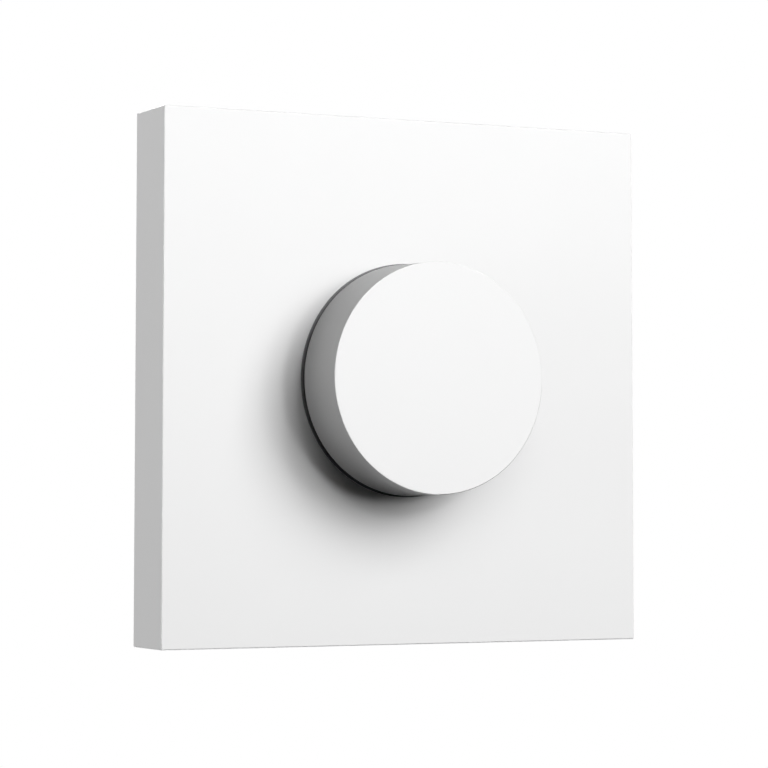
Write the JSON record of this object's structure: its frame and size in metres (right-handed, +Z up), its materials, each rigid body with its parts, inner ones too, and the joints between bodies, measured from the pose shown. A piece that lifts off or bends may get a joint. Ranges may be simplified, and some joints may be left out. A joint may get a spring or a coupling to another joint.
{
  "type": "rotary light switch",
  "caption": "Square white wall switch with a round knob that turns and presses, hung on a bracket, with an encoder, radio board and coin cell inside.",
  "frame": {"origin": "centre of the wall plane, on the back face of the adhesive pad, behind the knob's axis", "axes": "+Z up the wall, +X to the right as seen from the front, -Y out of the wall towards the user"},
  "size_m": [0.086, 0.024, 0.086],
  "materials": {
    "white_plastic": "white moulded plastic, fine satin grain",
    "case_plastic": "off-white moulded plastic",
    "bracket_plastic": "off-white moulded plastic",
    "dark_plastic": "dark low-friction moulded plastic",
    "black_plastic": "black moulded plastic",
    "zinc": "cast and turned metal",
    "steel": "plated sheet and screws",
    "cell_steel": "bright plated can",
    "brass": "plated contact strip",
    "board": "laminate with green lacquer",
    "pad_foam": "double-sided foam tape"
  },
  "bodies": {
    "case": {"front_cover": "white_plastic", "rear_cover": "case_plastic", "wall_bracket": "bracket_plastic", "guide_ring": "dark_plastic", "encoder_housing": "black_plastic", "battery_holder": "black_plastic", "board_components": "black_plastic", "encoder_bushing": "zinc", "encoder_frame": "steel", "detent_spring": "steel", "switch_dome": "steel", "board_screws": "steel", "cover_screws": "steel", "radio_shield": "steel", "coin_cell": "cell_steel", "encoder_pins": "brass", "positive_contact": "brass", "negative_contact": "brass", "radio_antenna": "brass", "circuit_board": "board", "radio_board": "board", "adhesive_pad": "pad_foam"},
    "rotor": {"encoder_rotor": "black_plastic", "encoder_wiper": "brass"},
    "knob_and_shaft": {"knob": "white_plastic", "encoder_shaft": "zinc"},
    "plunger": {"push_plunger": "black_plastic"},
    "door": {"battery_door": "case_plastic"}
  },
  "joints": [
    {"name": "knob_turn", "type": "hinge", "parent": "case", "child": "rotor", "pos_m": [0, 0, 0], "axis": [0, -1, 0], "continuous": true, "deforming": ["detent_spring"]},
    {"name": "knob_press", "type": "slide", "parent": "rotor", "child": "knob_and_shaft", "axis": [0, 1, 0], "range_m": [0, 0.0005], "stiffness_N_per_m": 1000, "springref_m": -0.003},
    {"name": "plunger_press", "type": "slide", "parent": "case", "child": "plunger", "axis": [0, 1, 0], "range_m": [0, 0.0005], "deforming": ["switch_dome"]},
    {"name": "battery_door_turn", "type": "hinge", "parent": "case", "child": "door", "pos_m": [0, -0.0025, -0.021], "axis": [0, -1, 0], "range_deg": [0, 30]}
  ],
  "couplings": [
    {"joint": "plunger_press", "follows": "knob_press", "ratio": 1}
  ]
}
